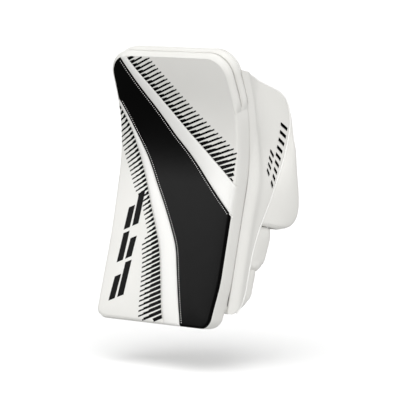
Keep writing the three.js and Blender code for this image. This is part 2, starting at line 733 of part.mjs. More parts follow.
// The origin is the centre of the wrist opening.
const WRIST = new THREE.Vector3((HAND_LEFT + HAND_RIGHT) / 2, (HAND_FRONT + HAND_BACK + REAR_Y) / 2, CUFF_TOP);
blocker.rotation.x = -LEAN;
blocker.position.copy(WRIST).applyEuler(blocker.rotation).negate();

export default blocker;
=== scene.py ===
import json
import math
import bpy
import bmesh
from mathutils import Matrix, Vector, noise


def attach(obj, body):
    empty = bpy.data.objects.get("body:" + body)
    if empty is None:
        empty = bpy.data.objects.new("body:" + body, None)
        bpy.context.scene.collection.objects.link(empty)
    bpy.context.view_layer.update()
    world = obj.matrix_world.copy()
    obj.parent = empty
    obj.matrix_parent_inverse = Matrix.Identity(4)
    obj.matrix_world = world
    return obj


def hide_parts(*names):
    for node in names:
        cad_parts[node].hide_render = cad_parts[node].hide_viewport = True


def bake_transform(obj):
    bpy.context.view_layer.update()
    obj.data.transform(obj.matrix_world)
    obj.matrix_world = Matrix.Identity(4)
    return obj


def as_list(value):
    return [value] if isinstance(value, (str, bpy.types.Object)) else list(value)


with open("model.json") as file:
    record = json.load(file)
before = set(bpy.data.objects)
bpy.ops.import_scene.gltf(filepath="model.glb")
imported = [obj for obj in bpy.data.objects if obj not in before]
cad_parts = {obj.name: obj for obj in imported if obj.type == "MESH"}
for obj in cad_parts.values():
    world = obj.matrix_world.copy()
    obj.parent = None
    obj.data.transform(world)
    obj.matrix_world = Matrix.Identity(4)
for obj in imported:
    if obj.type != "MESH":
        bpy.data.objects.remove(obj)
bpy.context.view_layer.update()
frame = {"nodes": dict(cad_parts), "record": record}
nodes = frame["nodes"]
mounts = {mount["name"]: mount for mount in frame["record"]["mounts"]}
mm = 0.001

# the board's own frame has x across it, y to its back and z up its straight lower stretch
board = {
    "width": 204 * mm,
    "length": 381 * mm,
    "thickness": 30.8 * mm,
    "topCorner": 32 * mm,
    "bottomCorner": 15 * mm,
    "rake": 5 * mm,  # the back of the bottom edge is this much higher than its front
    "rakeReach": 50 * mm,
    "straight": 199 * mm,
    "bendRadius": 222 * mm,
    "bendAngle": math.radians(33),
    "rollFrom": 300 * mm,
    "taper": 7 * mm,  # the thumb side draws in at the lower end
    "taperReach": 75 * mm,
    "topTaper": 3.5 * mm,
    "topTaperFrom": 300 * mm,
    "topTaperReach": 60 * mm,
    "waist": 3 * mm,  # the other side is hollowed a little, most at this height
    "waistAt": 125 * mm,
    "waistReach": 75 * mm,
    "facePointIs": Vector((60, 0, 100)) * mm,  # where the record's board_face point lies
}
thick = board["thickness"]
lean = math.asin(mounts["board_face"]["axis"][2])
leanTurn = Matrix.Rotation(-lean, 4, "X")
faceAt = Vector(mounts["board_face"]["pos_m"])
boardToRow = Matrix.Translation(faceAt - leanTurn @ board["facePointIs"]) @ leanTurn
rowToBoard = boardToRow.inverted()


def boardBack(z):
    radius = board["bendRadius"] + thick
    up = z - board["straight"]
    if up <= 0:
        return thick
    arcTop = radius * math.sin(board["bendAngle"])
    y = -board["bendRadius"] + math.sqrt(radius ** 2 - min(up, arcTop) ** 2)
    return y - max(up - arcTop, 0) * math.tan(board["bendAngle"])


def cornersAt(s):  # each rounded corner's radius, and how far height s is into it
    return ((board["bottomCorner"], board["bottomCorner"] - s),
            (board["topCorner"], s - board["length"] + board["topCorner"]))


def halfWidth(s):
    half = board["width"] / 2
    for r, into in cornersAt(s):
        if into > 0:
            return half - r + math.sqrt(max(r * r - into * into, 0))
    return half


def edgeDistance(x, s):
    half = board["width"] / 2
    x = abs(x)
    for r, into in cornersAt(s):
        if into > 0 and x > half - r:
            return max(r - math.hypot(x - half + r, into), 0)
    return max(min(half - x, s, board["length"] - s), 0)


# small tools for numbers
def between(a, b, t):
    return a + (b - a) * t


def along(points, at):
    if at <= points[0][0]:
        return points[0][1]
    for (u0, v0), (u1, v1) in zip(points, points[1:]):
        if at <= u1:
            return v0 + (v1 - v0) * (at - u0) / (u1 - u0)
    return points[-1][1]


def softly(points, at, reach):
    return sum(along(points, at + reach * k / 4) for k in range(-4, 5)) / 9


def ease(t):
    t = min(max(t, 0), 1)
    return t * t * (3 - 2 * t)


def hump(distance, reach):
    return math.exp(-(distance / reach) ** 2)


def rollDown(distance, radius):
    if distance >= radius:
        return 0
    return radius - math.sqrt(max(radius ** 2 - (radius - distance) ** 2, 0))


def spreadToEnds(t, amount=0.75):
    return t + amount * ((0.5 - 0.5 * math.cos(math.pi * t)) - t)


def boardPoint(x, s, n):  # across the board, up along its face, and back into it
    s += board["rake"] * max(n, 0) / thick * ease(1 - s / board["rakeReach"])
    share = abs(x) / board["width"] * 2
    if x > 0:
        low = board["taper"] * (1 - ease(s / board["taperReach"]))
        high = board["topTaper"] * ease((s - board["topTaperFrom"]) / board["topTaperReach"])
        x -= (low + high) * share
    else:
        x += board["waist"] * hump(s - board["waistAt"], board["waistReach"]) * share
    radius, whole = board["bendRadius"], board["bendAngle"]
    turned = min(max((s - board["straight"]) / radius, 0), whole)
    past = max(s - board["straight"] - radius * whole, 0)
    y = -radius * (1 - math.cos(turned)) - past * math.sin(turned)
    z = min(s, board["straight"]) + radius * math.sin(turned) + past * math.cos(turned)
    return Vector((x, y + n * math.cos(turned), z + n * math.sin(turned)))


def rowPoint(x, y, z):
    return boardToRow @ (Vector((x, y, z)) * mm)


# small tools for meshes
def clearSelection():
    if bpy.context.object and bpy.context.object.mode != "OBJECT":
        bpy.ops.object.mode_set(mode="OBJECT")
    bpy.ops.object.select_all(action="DESELECT")


def makeActive(piece):
    clearSelection()
    piece.hide_set(False)
    piece.select_set(True)
    bpy.context.view_layer.objects.active = piece


def editAll(piece, operator, **settings):
    makeActive(piece)
    bpy.ops.object.mode_set(mode="EDIT")
    bpy.ops.mesh.select_all(action="SELECT")
    operator(**settings)
    bpy.ops.object.mode_set(mode="OBJECT")


def mergeClose(piece):
    editAll(piece, bpy.ops.mesh.remove_doubles, threshold=0.02 * mm)


def linked(name, data):
    thing = bpy.data.objects.new(name, data)
    bpy.context.scene.collection.objects.link(thing)
    return thing


def fromBmesh(name, bm):
    piece = linked(name, bpy.data.meshes.new(name))
    bm.to_mesh(piece.data)
    bm.free()
    return piece


def layGrid(name, across, upright, at):
    clearSelection()
    bpy.ops.mesh.primitive_grid_add(x_subdivisions=across, y_subdivisions=upright, size=1)
    piece = bpy.context.object
    piece.name = piece.data.name = name
    for v in piece.data.vertices:
        v.co = at(v.co.x + 0.5, v.co.y + 0.5)
    return piece


def faceOut(piece, towards=None, centre=None):
    total = 0
    for side in piece.data.polygons:
        away = towards or side.center - centre
        total += side.normal.dot(away) * side.area
    if total < 0:
        editAll(piece, bpy.ops.mesh.flip_normals)


def applyModifier(piece, kind, **settings):
    makeActive(piece)
    modifier = piece.modifiers.new(kind.title(), kind)
    for key, value in settings.items():
        setattr(modifier, key, value)
    bpy.ops.object.modifier_apply(modifier=modifier.name)


def giveWall(piece, thickness, rounded=False, even=True):
    applyModifier(piece, "SOLIDIFY", thickness=thickness, offset=-1, use_even_offset=even)
    if rounded:
        applyModifier(piece, "SUBSURF", levels=1, render_levels=1)


front, back, thumbSide = Vector((0, -1, 0)), Vector((0, 1, 0)), Vector((1, 0, 0))


def walledPiece(name, columns, rows, at, wall, towards=None, centre=None, rounded=False, even=True):
    piece = layGrid(name, columns, rows, at)
    faceOut(piece, towards, centre)
    giveWall(piece, wall, rounded, even)
    return piece


def finishPiece(piece, finish, slot, body, *stoodFor, move=True):
    if move:
        piece.data.transform(boardToRow)
    piece.data.update()
    makeActive(piece)
    bpy.ops.object.shade_smooth_by_angle(angle=math.radians(50))
    piece.data.materials.clear()
    piece.data.materials.append(finish)
    if body:
        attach(piece, body)
    if stoodFor:
        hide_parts(*stoodFor)
    return piece


def pathTube(name, points, radius, rings=1):
    curve = bpy.data.curves.new(name, "CURVE")
    curve.dimensions = "3D"
    curve.bevel_depth = radius
    curve.bevel_resolution = rings
    curve.use_fill_caps = True
    spline = curve.splines.new("POLY")
    spline.points.add(len(points) - 1)
    for spot, p in zip(spline.points, points):
        spot.co = (*p, 1)
    makeActive(linked(name, curve))
    bpy.ops.object.convert(target="MESH")
    return bpy.context.object


def resample(points, step):
    out = [points[0].copy()]
    left = step
    for a, b in zip(points, points[1:]):
        length = (b - a).length
        gone = 0
        while length - gone >= left:
            gone += left
            out.append(a.lerp(b, gone / length))
            left = step
        left -= length - gone
    return out


def stitchRun(name, points, outwards, thread):
    clearSelection()
    bpy.ops.mesh.primitive_uv_sphere_add(segments=6, ring_count=5, radius=1)
    pattern = bpy.context.object
    bm = bmesh.new()
    for a, b, out in zip(points, points[1:], outwards):
        run = (b - a).normalized()
        side = run.cross(out).normalized()
        up = side.cross(run)
        axes = (run * (b - a).length * thread["fill"], side * thread["width"], up * thread["height"])
        turn = Matrix([axis / 2 for axis in axes]).transposed().to_4x4()
        copyOf = pattern.data.copy()
        copyOf.transform(Matrix.Translation((a + b) / 2 + up * thread["lift"]) @ turn)
        bm.from_mesh(copyOf)
        bpy.data.meshes.remove(copyOf)
    piece = fromBmesh(name, bm)
    makeActive(pattern)
    bpy.ops.object.delete()
    return piece


# finishes
def addNode(tree, kind, **values):
    node = tree.nodes.new(kind)
    for key, value in values.items():
        if hasattr(node, key):
            setattr(node, key, value)
        else:
            node.inputs[key.replace("_", " ")].default_value = value
    return node


def newFinish(name, settings):
    finish = bpy.data.materials.new(name)
    finish.use_nodes = True
    shader = finish.node_tree.nodes["Principled BSDF"]
    for key, value in settings.items():
        shader.inputs[key].default_value = value
    return finish, finish.node_tree, shader


def toneRamp(tree, low, high, start=0.3, end=0.7):
    ramp = tree.nodes.new("ShaderNodeValToRGB")
    for element, colour, position in zip(ramp.color_ramp.elements, (low, high), (start, end)):
        element.color = (*colour, 1)
        element.position = position
    return ramp


def grey(level, blue=None):
    return (level, level, level if blue is None else blue)


leather = {"grain": 900, "grainStrength": 0.20, "creases": 26, "creaseStrength": 0.05, "patches": 9,
           "grainDepth": 0.18 * mm, "creaseDepth": 1.2 * mm, "roughness": 0.46, "shine": 0.02}
cloth = {"cells": "F1", "random": 1, "ramp": (0.1, 0.6), "roughness": 0.95, "shine": 0.25, "fuzz": 700,
         "cellDepth": 0.6 * mm, "napStrength": 0.35, "napDepth": 0.2 * mm}


def leatherFinish(name, **changes):
    look = {**leather, **changes}
    finish, tree, shader = newFinish(name, {"Specular IOR Level": look["shine"]})
    link = tree.links.new
    place = tree.nodes.new("ShaderNodeTexCoord").outputs["Object"]
    pebble = addNode(tree, "ShaderNodeTexVoronoi", feature="SMOOTH_F1", Scale=look["grain"], Smoothness=0.6)
    pores = addNode(tree, "ShaderNodeTexNoise", Scale=look["grain"] * 2.3, Detail=4)
    creases = addNode(tree, "ShaderNodeTexNoise", Scale=look["creases"], Detail=5, Distortion=0.6)
    shades = addNode(tree, "ShaderNodeTexNoise", Scale=look["patches"], Detail=3)
    for texture in (pebble, pores, creases, shades):
        link(place, texture.inputs["Vector"])
    grain = addNode(tree, "ShaderNodeMath", operation="MULTIPLY_ADD")
    grain.inputs[1].default_value = 0.8
    link(pebble.outputs["Distance"], grain.inputs[0])
    link(pores.outputs["Fac"], grain.inputs[2])
    fine = addNode(tree, "ShaderNodeBump", Strength=look["grainStrength"], Distance=look["grainDepth"])
    link(grain.outputs[0], fine.inputs["Height"])
    broad = addNode(tree, "ShaderNodeBump", Strength=look["creaseStrength"], Distance=look["creaseDepth"])
    link(creases.outputs["Fac"], broad.inputs["Height"])
    link(fine.outputs["Normal"], broad.inputs["Normal"])
    link(broad.outputs["Normal"], shader.inputs["Normal"])
    tone = toneRamp(tree, look["dark"], look["light"])
    link(shades.outputs["Fac"], tone.inputs["Fac"])
    link(tone.outputs["Color"], shader.inputs["Base Color"])
    low, high = look["roughness"] - 0.06, look["roughness"] + 0.08
    rough = addNode(tree, "ShaderNodeMapRange", To_Min=low, To_Max=high)
    link(pores.outputs["Fac"], rough.inputs["Value"])
    link(rough.outputs["Result"], shader.inputs["Roughness"])
    return finish


def clothFinish(name, **changes):
    look = {**cloth, **changes}
    finish, tree, shader = newFinish(name, {
        "Roughness": look["roughness"], "Specular IOR Level": look["shine"],
        "Sheen Weight": look["sheen"], "Sheen Roughness": 0.5})
    link = tree.links.new
    place = tree.nodes.new("ShaderNodeTexCoord").outputs["Object"]
    cells = addNode(tree, "ShaderNodeTexVoronoi", feature=look["cells"], Scale=look["scale"],
                    Randomness=look["random"])
    fuzz = addNode(tree, "ShaderNodeTexNoise", Scale=look["fuzz"], Detail=4)
    link(place, cells.inputs["Vector"])
    link(place, fuzz.inputs["Vector"])
    tone = toneRamp(tree, look["dark"], look["light"], *look["ramp"])
    link(cells.outputs["Distance"], tone.inputs["Fac"])
    dusted = addNode(tree, "ShaderNodeMix", data_type="RGBA", blend_type="MULTIPLY")
    dusted.inputs["Factor"].default_value = look["mottle"]
    link(tone.outputs["Color"], dusted.inputs["A"])
    speckle = toneRamp(tree, grey(0.45), grey(1), 0.35, 0.65)
    link(fuzz.outputs["Fac"], speckle.inputs["Fac"])
    link(speckle.outputs["Color"], dusted.inputs["B"])
    link(dusted.outputs["Result"], shader.inputs["Base Color"])
    holes = addNode(tree, "ShaderNodeBump", Strength=look["depth"], Distance=look["cellDepth"])
    link(cells.outputs["Distance"], holes.inputs["Height"])
    nap = addNode(tree, "ShaderNodeBump", Strength=look["napStrength"], Distance=look["napDepth"])
    link(fuzz.outputs["Fac"], nap.inputs["Height"])
    link(holes.outputs["Normal"], nap.inputs["Normal"])
    link(nap.outputs["Normal"], shader.inputs["Normal"])
    return finish


whiteLeather = leatherFinish("whiteLeather", dark=(0.735, 0.728, 0.70), light=(0.775, 0.768, 0.74),
                             shine=0.13, grainStrength=0.22, creaseStrength=0.10)
stripeLeather = leatherFinish("stripeLeather", dark=(0.77, 0.766, 0.745), light=(0.80, 0.796, 0.775),
                              roughness=0.36, shine=0.14, creaseStrength=0.08)
# a lighter copy of the white leather, used only for the wing piping: a painted highlight along the wing's
# seam
paintedHighlightLeather = leatherFinish("paintedHighlightLeather", dark=(0.90, 0.896, 0.875), light=(0.93, 0.926, 0.905),
                              shine=0.15, grainStrength=0.15)
blackLeather = leatherFinish("blackLeather", dark=grey(0.0008), light=grey(0.0016), roughness=0.36,
                             grainStrength=0.35, creases=22, creaseStrength=0.14, patches=11)
blackInk = leatherFinish("blackInk", dark=grey(0.0008), light=grey(0.0018), roughness=0.44, patches=20)
backLeather = leatherFinish("backLeather", dark=grey(0.62, 0.59), light=grey(0.70, 0.67), roughness=0.62,
                            shine=0.3, grain=520, grainStrength=0.5, creases=30, creaseStrength=0.2,
                            patches=12)
palmSuede = clothFinish("palmSuede", dark=(0.40, 0.39, 0.37), light=(0.50, 0.49, 0.46), scale=1500,
                        mottle=0.55, depth=0.25, sheen=0.3)
blackMesh = clothFinish("blackMesh", dark=grey(0.004), light=grey(0.050, 0.054), ramp=(0.05, 0.32),
                        cells="DISTANCE_TO_EDGE", scale=520, random=0.7, fuzz=1600, mottle=0.4, depth=0.9,
                        roughness=0.8, sheen=0.2)
loopPile = clothFinish("loopPile", dark=grey(0.010), light=grey(0.060, 0.062), ramp=(0.1, 0.7), scale=1100,
                       fuzz=1500, mottle=0.7, depth=0.8, sheen=0.5)
innerFoam = clothFinish("innerFoam", dark=(0.30, 0.31, 0.33), light=(0.44, 0.45, 0.47), scale=800, fuzz=900,
                        mottle=0.3, depth=0.6, sheen=0.1)
darkSuede = clothFinish("darkSuede", dark=grey(0.030, 0.031), light=grey(0.062, 0.064), scale=1500,
                        mottle=0.5, depth=0.3, sheen=0.35)
plasticSheet = leatherFinish("plasticSheet", dark=grey(0.10, 0.11), light=grey(0.13, 0.14), roughness=0.35,
                             shine=0.5, grain=300, grainStrength=0.1, creases=40, patches=8)
thread = {"scale": 2600, "random": 0.6, "fuzz": 2600, "mottle": 0.25, "depth": 0.3, "roughness": 0.7,
          "sheen": 0.2}
whiteThread = clothFinish("whiteThread", dark=grey(0.80, 0.78), light=grey(0.90, 0.88), **thread)
greyThread = clothFinish("greyThread", dark=grey(0.50, 0.48), light=grey(0.66, 0.64), **thread)
print("finishes made")

# the face
face = {
    "sideRoll": 3.2 * mm,
    "bottomRoll": 5 * mm,
    "bottomRollFrom": 30 * mm,  # the bottom edge's wider roll grows from here towards the left
    "bottomRollReach": 80 * mm,
    "bottomZone": 20 * mm,
    "crown": 1.6 * mm,
    "crownReach": 16 * mm,
    "seamRoll": 1.5 * mm,
    "seamSoftness": 7 * mm,
    "stripeCrown": 1.3 * mm,
    "stripeCrownReach": 12 * mm,
    "narrowest": 0.4 * mm,
    "wall": 1.5 * mm,
}
seams = {  # height along the face, then across, in millimetres
    "printToStripe": [(0, 20), (18, 13), (62, 3), (100, -6), (121, -14), (161, -33), (201, -50), (239, -67),
                      (276, -83), (306, -100), (316, -106)],
    "stripeToBlack": [(-8, 51), (10, 47), (37, 38), (64, 30), (102, 21), (116, 16), (144, 1), (171, -15),
                      (196, -31), (230, -50), (269, -75), (319, -103)],
    "blackToStripe": [(150, 111), (162, 100.5), (185, 76), (206, 55), (229, 34), (248, 15), (265, -3),
                      (295, -27), (322, -48), (343, -62), (378, -83), (386, -88)],
    "stripeToPrint": [(195, 108), (203, 100.5), (223, 77), (240, 56), (260, 33), (275, 16), (294, -2),
                      (314, -20), (335, -37), (355, -54), (379, -72), (386, -77)],
}


def seamAt(name, s):
    return softly([(a * mm, b * mm) for a, b in seams[name]], s, face["seamSoftness"])


def faceDepth(x, s):
    d = edgeDistance(x, s)
    leftness = ease((face["bottomRollFrom"] - x) / face["bottomRollReach"])
    atBottom = s < face["bottomZone"] and s < board["width"] / 2 - abs(x)
    radius = between(face["sideRoll"], face["bottomRoll"], leftness) if atBottom else face["sideRoll"]
    return rollDown(d, radius) - face["crown"] * (1 - math.exp(-d / face["crownReach"]))


def onFace(x, s, lift=0):
    return boardPoint(x, s, faceDepth(x, s) - lift)


def facePanel(name, leftSeam, rightSeam, start, stop, columns, rows):
    def at(u, v):
        s = between(start, stop, spreadToEnds(v, 0.85))
        half = halfWidth(s)
        low = max(-half, min(half, seamAt(leftSeam, s) if leftSeam else -half))
        high = max(-half, min(half, seamAt(rightSeam, s) if rightSeam else half))
        high = max(high, low + face["narrowest"])
        x = between(low, high, spreadToEnds(u, 0.9))
        n = faceDepth(x, s)
        if leftSeam and low > -half:
            n += rollDown(x - low, face["seamRoll"])
        if rightSeam and high < half:
            n += rollDown(high - x, face["seamRoll"])
        if "Stripe" in name:
            n -= face["stripeCrown"] * math.sin(math.pi * u) * ease((high - low) / face["stripeCrownReach"])
        return boardPoint(x, s, n)

    return walledPiece(name, columns, rows, at, face["wall"], front, even=False)


white = (whiteLeather, "white_leather")
stripe = (stripeLeather, "white_leather")
black = (blackLeather, "black_leather")
mesh = (blackMesh, "black_mesh")
suede = (palmSuede, "palm_suede")
facePieces = {  # left and right seam, low and high end in millimetres, columns, rows, finish, CAD node
    "facePanelLeft": (None, "printToStripe", 0, 311, 34, 96, white, "face_panel_left"),
    "faceStripeLeft": ("printToStripe", "stripeToBlack", 0, 318, 12, 96, stripe, "face_stripe_left"),
    "facePanelBlack": ("stripeToBlack", "blackToStripe", 0, 381, 32, 120, black, "face_panel_black"),
    "faceStripeRight": ("blackToStripe", "stripeToPrint", 156, 381, 12, 84, stripe, "face_stripe_right"),
    "facePanelRight": ("stripeToPrint", None, 198, 381, 34, 84, white, "face_panel_right"),
}
for name, (left, right, low, high, columns, rows, finish, node) in facePieces.items():
    piece = facePanel(name, left, right, low * mm, high * mm, columns, rows)
    finishPiece(piece, *finish, "board", node)
print("face panels made")

stitch = {
    "pitch": 3.1 * mm,
    "inset": 4.29 * mm,
    "edgeGap": 2 * mm,
    "thread": {"width": 1.15 * mm, "height": 0.9 * mm, "lift": 0.25 * mm, "fill": 0.5},
}
stitchOut = Vector((0, -1, -0.2))


def faceStitches(name, seam, side, start, stop, steps=160):
    path = []
    for i in range(steps + 1):
        s = between(start, stop, i / steps)
        x = seamAt(seam, s) + side * stitch["inset"]
        if edgeDistance(x, s) > stitch["edgeGap"]:
            path.append(onFace(x, s))
    path = resample(path, stitch["pitch"])
    piece = stitchRun(name, path, [stitchOut] * len(path), stitch["thread"])
    finishPiece(piece, whiteThread, "white_leather", "board")


faceStitches("stitchesBlackLeft", "stripeToBlack", 1, 4 * mm, 312 * mm)
faceStitches("stitchesBlackRight", "blackToStripe", -1, 160 * mm, 374 * mm)

hatch = {  # each list: height along the face, then the value there, in millimetres
    "hatchRight": {
        "seam": "stripeToPrint", "way": 1, "from": 201, "to": 383,
        "pitch": [(200, 5.2), (384, 4.85)],
        "slope": [(200, 0.33), (300, 0.41), (384, 0.47)],
        "reach": [(200, 38), (250, 35), (290, 31), (384, 29)],
        "thick": [[(200, 4.1), (300, 3.9)], [(200, 3.5), (250, 3.0), (384, 2.7)], [(200, 2.2), (384, 1.9)]],
        "break": [[(200, 0.5), (240, 0.34), (280, 0.21)], [(200, 0.8), (384, 0.84)]]},
    "hatchLeft": {
        "seam": "printToStripe", "way": -1, "from": -6, "to": 318,
        "pitch": [(0, 7.1), (100, 6.15), (318, 5.85)],
        "slope": [(0, 0.41), (100, 0.48), (260, 0.66), (318, 0.7)],
        "reach": [(0, 41), (40, 36), (84, 30), (118, 27), (132, 14), (178, 13), (194, 20), (240, 22),
                  (318, 20)],
        "thick": [[(0, 5.2), (100, 4.5), (318, 3.9)], [(0, 3.8), (100, 3.2), (318, 2.9)],
                  [(0, 2.3), (318, 2.2)]],
        "break": [[(0, 0.58), (100, 0.47), (200, 0.38), (318, 0.24)], [(0, 0.8), (318, 0.7)]]},
}
printing = {"lift": 0.2 * mm, "edgeGap": 0.9 * mm, "thickness": 0.12 * mm, "seamGap": 0.5}


def printStrip(bm, corners, cuts=8):  # corners in millimetres, left out where they come near the edge
    corners = [(x * mm, s * mm) for x, s in corners]
    rows = []
    for k in range(cuts + 1):
        spots = [(between(a[0], b[0], k / cuts), between(a[1], b[1], k / cuts))
                 for a, b in ((corners[0], corners[1]), (corners[3], corners[2]))]
        inside = min(edgeDistance(x, s) for x, s in spots) >= printing["edgeGap"]
        rows.append([bm.verts.new(onFace(x, s, printing["lift"])) for x, s in spots] if inside else None)
    for a, b in zip(rows, rows[1:]):
        if a and b:
            bm.faces.new((a[0], b[0], b[1], a[1]))


def printPiece(name, bm):
    bmesh.ops.delete(bm, geom=[v for v in bm.verts if not v.link_faces], context="VERTS")
    piece = fromBmesh(name, bm)
    mergeClose(piece)
    editAll(piece, bpy.ops.mesh.normals_make_consistent, inside=False)
    for side in piece.data.polygons:
        if side.normal.y > 0:
            side.flip()
    giveWall(piece, printing["thickness"])
    finishPiece(piece, blackInk, "black_leather", "board")


def makeHatch(name, side):
    bm = bmesh.new()
    s, way = side["from"], side["way"]

    def root(height):
        return seamAt(side["seam"], height * mm) / mm + way * printing["seamGap"]

    while s < side["to"]:
        reach, slope = along(side["reach"], s), along(side["slope"], s)
        breaks = [0] + [along(line, s) for line in side["break"]] + [1]
        for k, line in enumerate(side["thick"]):
            thickness = along(line, s)
            lowAt = [(root(s) + way * reach * t, s + way * slope * reach * t) for t in breaks[k:k + 2]]
            highAt = [(x, h + thickness) for x, h in lowAt]
            if k == 0:
                highAt[0] = (root(s + thickness), highAt[0][1])
            printStrip(bm, [*lowAt, *highAt[::-1]])
        s += along(side["pitch"], s)
    printPiece(name, bm)


for name, side in hatch.items():
    makeHatch(name, side)

marks = {  # plain slanted bars, each in two halves
    "left": -83, "low": 24, "width": 25, "tall": [50, 42, 46], "space": 5, "rise": 11, "drift": 2.6,
    "lean": 0.08, "halves": ((0, 0.42), (0.58, 1)), "short": 0.3}
markInk = bmesh.new()
markLow = marks["low"]
for index, tall in enumerate(marks["tall"]):
    for part, ends in enumerate(marks["halves"]):
        x0, x1 = (marks["left"] + index * marks["drift"] + t * marks["width"] for t in ends)
        low0, low1 = (markLow + marks["rise"] * t for t in ends)
        over = marks["lean"] * tall
        up = tall if (part + index) % 2 else tall - tall * marks["short"]
        printStrip(markInk, [(x0, low0), (x0 + over, low0 + up), (x1 + over, low1 + up), (x1, low1)], cuts=10)
    markLow += tall + marks["space"]
printPiece("faceMarks", markInk)
print("face print made")

# the edge: side band, rolled top binding in two halves, welts and back cover
edge = {
    "bandPuff": 1.0 * mm,
    "rollPuff": 2.7 * mm,
    "rollFrontFrom": -0.6 * mm,
    "rollSplit": 15.6 * mm,
    "tuck": 2.2 * mm,
    "wall": 1.4 * mm,
    "step": 6 * mm,
    "cornerSteps": 14,
}


def outline(end, start=board["rollFrom"]):  # across and up, then the way inwards, from side to side
    radius = board["topCorner"] if end else board["bottomCorner"]
    way = 1 if end else -1
    half = board["width"] / 2
    turnAt = end - way * radius
    steps = edge["cornerSteps"]
    count = max(6, int(abs(turnAt - start) / edge["step"]))
    spots = [(half, between(start, turnAt, i / count), -1, 0) for i in range(count)]
    for i in range(steps + 1):
        angle = math.radians(90 * i / steps)
        c, k = math.cos(angle), math.sin(angle)
        spots.append((half - radius + radius * c, turnAt + way * radius * k, -c, -way * k))
    spots += [((half - radius) * (1 - i / steps), end, 0, -way) for i in range(1, steps)]
    mirrored = [(-x, s, -u, v) for x, s, u, v in spots]
    return spots + [(0, end, 0, -way)] + mirrored[::-1]


def edgePiece(name, end, n0, n1, puff, power):
    spots = outline(end)
    last = len(spots) - 1

    def at(u, v):
        x, s, inX, inS = spots[round(u * last)]
        t = spreadToEnds(v, 0.8)
        out = puff - (puff + edge["tuck"]) * abs(2 * t - 1) ** power
        endTuck = ease(min(u, 1 - u) * last / 1.6)
        out = out * endTuck - edge["tuck"] * (1 - endTuck) * 0.4
        return boardPoint(x - inX * out, s - inS * out, between(n0, n1, t))

    return walledPiece(name, last, 14, at, edge["wall"], centre=boardPoint(0, board["length"] / 2, thick / 2))


edgePieces = {  # end of the board, front and back, puff and how square it is, CAD node
    "sideBand": (0, 0.4 * mm, thick + 0.6 * mm, edge["bandPuff"], 5, "side_band"),
    "topRollFront": (board["length"], edge["rollFrontFrom"], edge["rollSplit"], edge["rollPuff"], 2.3,
                     "top_roll_front"),
    "topRollBack": (board["length"], edge["rollSplit"], thick + 1.2 * mm, edge["rollPuff"], 2.3,
                    "top_roll_back"),
}
for name, (*shape, node) in edgePieces.items():
    finishPiece(edgePiece(name, *shape), *white, "board", node)

welts = {  # depth into the board, out from its edge, radius
    "weltFace": (1.5 * mm, -3.1 * mm, 0.75 * mm),
    "weltRolls": (edge["rollSplit"], 0.9 * mm, 0.9 * mm),
    "weltTopBack": (thick + 1.0 * mm, 0.2 * mm, 0.9 * mm),
}
for name, (n, out, radius) in welts.items():
    line = [boardPoint(x - inX * out, s - inS * out, n) for x, s, inX, inS in outline(board["length"])[1:-1]]
    finishPiece(pathTube(name, line, radius), *white, "board")

cover = {"lift": 0.3 * mm, "roll": 2.4 * mm, "crown": 0.5 * mm, "crownReach": 12 * mm, "wall": 1.4 * mm,
         "widthShare": 0.997, "lengthShare": 0.998, "up": 0.4 * mm}  # held just inside the edge pieces


def backSheet(u, v):
    s = board["length"] * spreadToEnds(v, 0.6)
    x = halfWidth(s) * (2 * spreadToEnds(u, 0.6) - 1)
    d = edgeDistance(x, s)
    crown = cover["crown"] * (1 - math.exp(-d / cover["crownReach"]))
    n = thick + cover["lift"] - rollDown(d, cover["roll"]) + crown
    return boardPoint(x * cover["widthShare"], s * cover["lengthShare"] + cover["up"], n)


backCover = walledPiece("backCover", 50, 90, backSheet, cover["wall"], back, even=False)
finishPiece(backCover, backLeather, "back_leather", "board", "back_cover")

mount = {"left": -50, "right": 92, "low": 40, "high": 344, "spread": 0.7, "bow": 0.12, "power": 8,
         "lift": 1.5, "roll": 1.1, "wall": 1.3 * mm}


def bowedPanel(look, u, v):  # place in millimetres, and how far out to each pair of sides
    a, b = (2 * spreadToEnds(t, look["spread"]) - 1 for t in (u, v))
    x = between(look["left"], look["right"], 0.5 + a * math.sqrt(1 - look["bow"] * b ** look["power"]) / 2)
    z = between(look["low"], look["high"], 0.5 + b * math.sqrt(1 - look["bow"] * a ** look["power"]) / 2)
    return x, z, abs(a), abs(b)


def mountPoint(u, v):
    x, h, a, b = bowedPanel(mount, u, v)
    gap = min((1 - a) * 70, (1 - b) * 150)
    return boardPoint(x * mm, h * mm, thick + (mount["lift"] - rollDown(gap, mount["roll"])) * mm)


mountPanel = walledPiece("mountPanel", 40, 70, mountPoint, mount["wall"], back)
finishPiece(mountPanel, darkSuede, "black_mesh", "board")
print("board edge made")

# the wing along the thumb side, outside and inside
wing = {
    "flare": 0.2,
    "inside": 1.8 * mm,
    "wall": 2.6 * mm,
    "bulge": 4.8 * mm,
    "bulgeAt": 14 * mm,
    "bulgeReach": 10 * mm,
    "dish": 7.5 * mm,
    "dishAt": 50 * mm,
    "dishReach": 30 * mm,
    "dishFrom": 215 * mm,
    "belly": 3 * mm,
    "bellyAt": (36 * mm, 205 * mm),
    "bellyReach": (22 * mm, 35 * mm),
    "raise": 4 * mm,
    "gap": 0.4 * mm,
    "edgeRoll": 3.5 * mm,
    "pipe": 1.3 * mm,
    "flapInside": 5 * mm,
}


def nodeLevels(name):
    levels = {}
    for v in nodes[name].data.vertices:
        p = rowToBoard @ v.co
        levels.setdefault(round(p.z, 4), []).append(p)
    return dict(sorted(levels.items()))


rearEdge = [max(spots, key=lambda p: p.y) for spots in nodeLevels("wing_panel").values()]
rearEdge = [Vector((0, p.y, p.z)) for p in rearEdge]
rearEdge = resample(rearEdge, 4 * mm) + [rearEdge[-1]]
rearSmooth = []
for i in range(len(rearEdge)):
    reach = min(i, len(rearEdge) - 1 - i, 3)
    near = rearEdge[i - reach:i + reach + 1]
    rearSmooth.append(sum(near, Vector()) / len(near))


